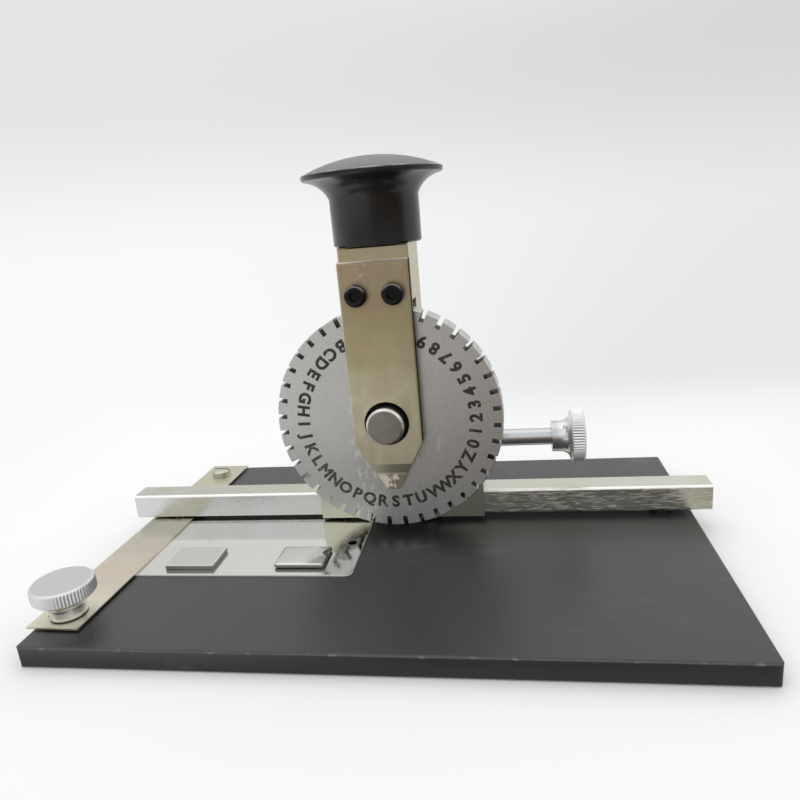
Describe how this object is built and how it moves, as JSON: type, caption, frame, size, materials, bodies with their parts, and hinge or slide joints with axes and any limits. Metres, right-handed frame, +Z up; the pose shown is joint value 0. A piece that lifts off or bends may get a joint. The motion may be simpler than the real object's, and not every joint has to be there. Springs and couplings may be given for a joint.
{
  "type": "manual tag marking machine",
  "caption": "Hand-pressed tag marking machine: a toothed character dial in a sprung press arm slides along a bar rail over a flat base, with a mushroom knob, thumb screws and a hold-down strip.",
  "frame": {"origin": "centre of the base plate's underside", "axes": "+X along the rail to the right, +Y to the back, +Z up; the dial's lettered face looks along -Y"},
  "size_m": [0.254, 0.16, 0.1587],
  "materials": {
    "base_paint": "satin charcoal paint on steel plate",
    "pale_zinc": "pale yellow-green zinc plating",
    "gold_zinc": "gold-olive zinc plating",
    "dial_steel": "satin polished steel",
    "bare_steel": "turned steel",
    "spring_steel": "drawn spring wire",
    "bronze": "bronze washer",
    "bright_nickel": "bright nickel plating",
    "tag_steel": "mirror-polished stainless sheet",
    "black_oxide": "black oxide on steel",
    "black_plastic": "moulded black thermoset, satin gloss"
  },
  "bodies": {
    "base": {"base_plate": "base_paint", "guide_rail": "pale_zinc", "rail_spacers": "black_oxide", "rail_screws": "black_oxide", "strip_shims": "pale_zinc", "strip_pivot_screw": "pale_zinc"},
    "carriage": {"carriage_saddle": "pale_zinc", "saddle_keeper": "pale_zinc", "keeper_rivets": "bare_steel", "guide_posts": "bare_steel", "return_spring": "spring_steel"},
    "arm": {"press_arm": "gold_zinc", "pointer_plate": "gold_zinc", "pointer_screws": "black_oxide", "dial_pin": "bare_steel", "dial_washer": "bronze", "knob_stud": "bare_steel", "press_knob": "black_plastic"},
    "dial": {"character_dial": "dial_steel"},
    "lock": {"lock_screw": "bright_nickel"},
    "clamp": {"clamp_screw": "bright_nickel"},
    "strip": {"hold_strip": "gold_zinc"},
    "tag": {"tag_plate": "tag_steel"},
    "magnet_left": {"hold_magnet_left": "bright_nickel"},
    "magnet_right": {"hold_magnet_right": "bright_nickel"}
  },
  "joints": [
    {"name": "carriage_slide", "type": "slide", "parent": "base", "child": "carriage", "axis": [1, 0, 0], "range_m": [-0.08, 0.085]},
    {"name": "arm_press", "type": "slide", "parent": "carriage", "child": "arm", "axis": [0, 0, 1], "range_m": [-0.003, 0], "stiffness_N_per_m": 4000, "springref_m": 0.006, "deforming": ["return_spring"]},
    {"name": "dial_turn", "type": "hinge", "parent": "arm", "child": "dial", "pos_m": [-0.0008, 0.0046, 0.0574], "axis": [0, 1, 0], "continuous": true},
    {"name": "lock_screw_turn", "type": "hinge", "parent": "arm", "child": "lock", "pos_m": [0.0639, 0.01875, 0.0422], "axis": [1, 0, 0], "range_deg": [0, 720]},
    {"name": "clamp_screw_turn", "type": "hinge", "parent": "base", "child": "clamp", "pos_m": [-0.1112, -0.062, 0.0096], "axis": [0, 0, 1], "range_deg": [0, 720]},
    {"name": "strip_swing", "type": "hinge", "parent": "base", "child": "strip", "pos_m": [-0.1079, 0.0668, 0.0091], "axis": [0, 0, 1], "range_deg": [-1.3, 1.7]},
    {"name": "tag_slide", "type": "slide", "parent": "base", "child": "tag", "axis": [0, 1, 0], "range_m": [-0.02, 0]},
    {"name": "magnet_left_slide", "type": "slide", "parent": "tag", "child": "magnet_left", "axis": [1, 0, 0], "range_m": [-0.008, 0.012]},
    {"name": "magnet_right_slide", "type": "slide", "parent": "tag", "child": "magnet_right", "axis": [1, 0, 0], "range_m": [-0.012, 0.01]}
  ]
}
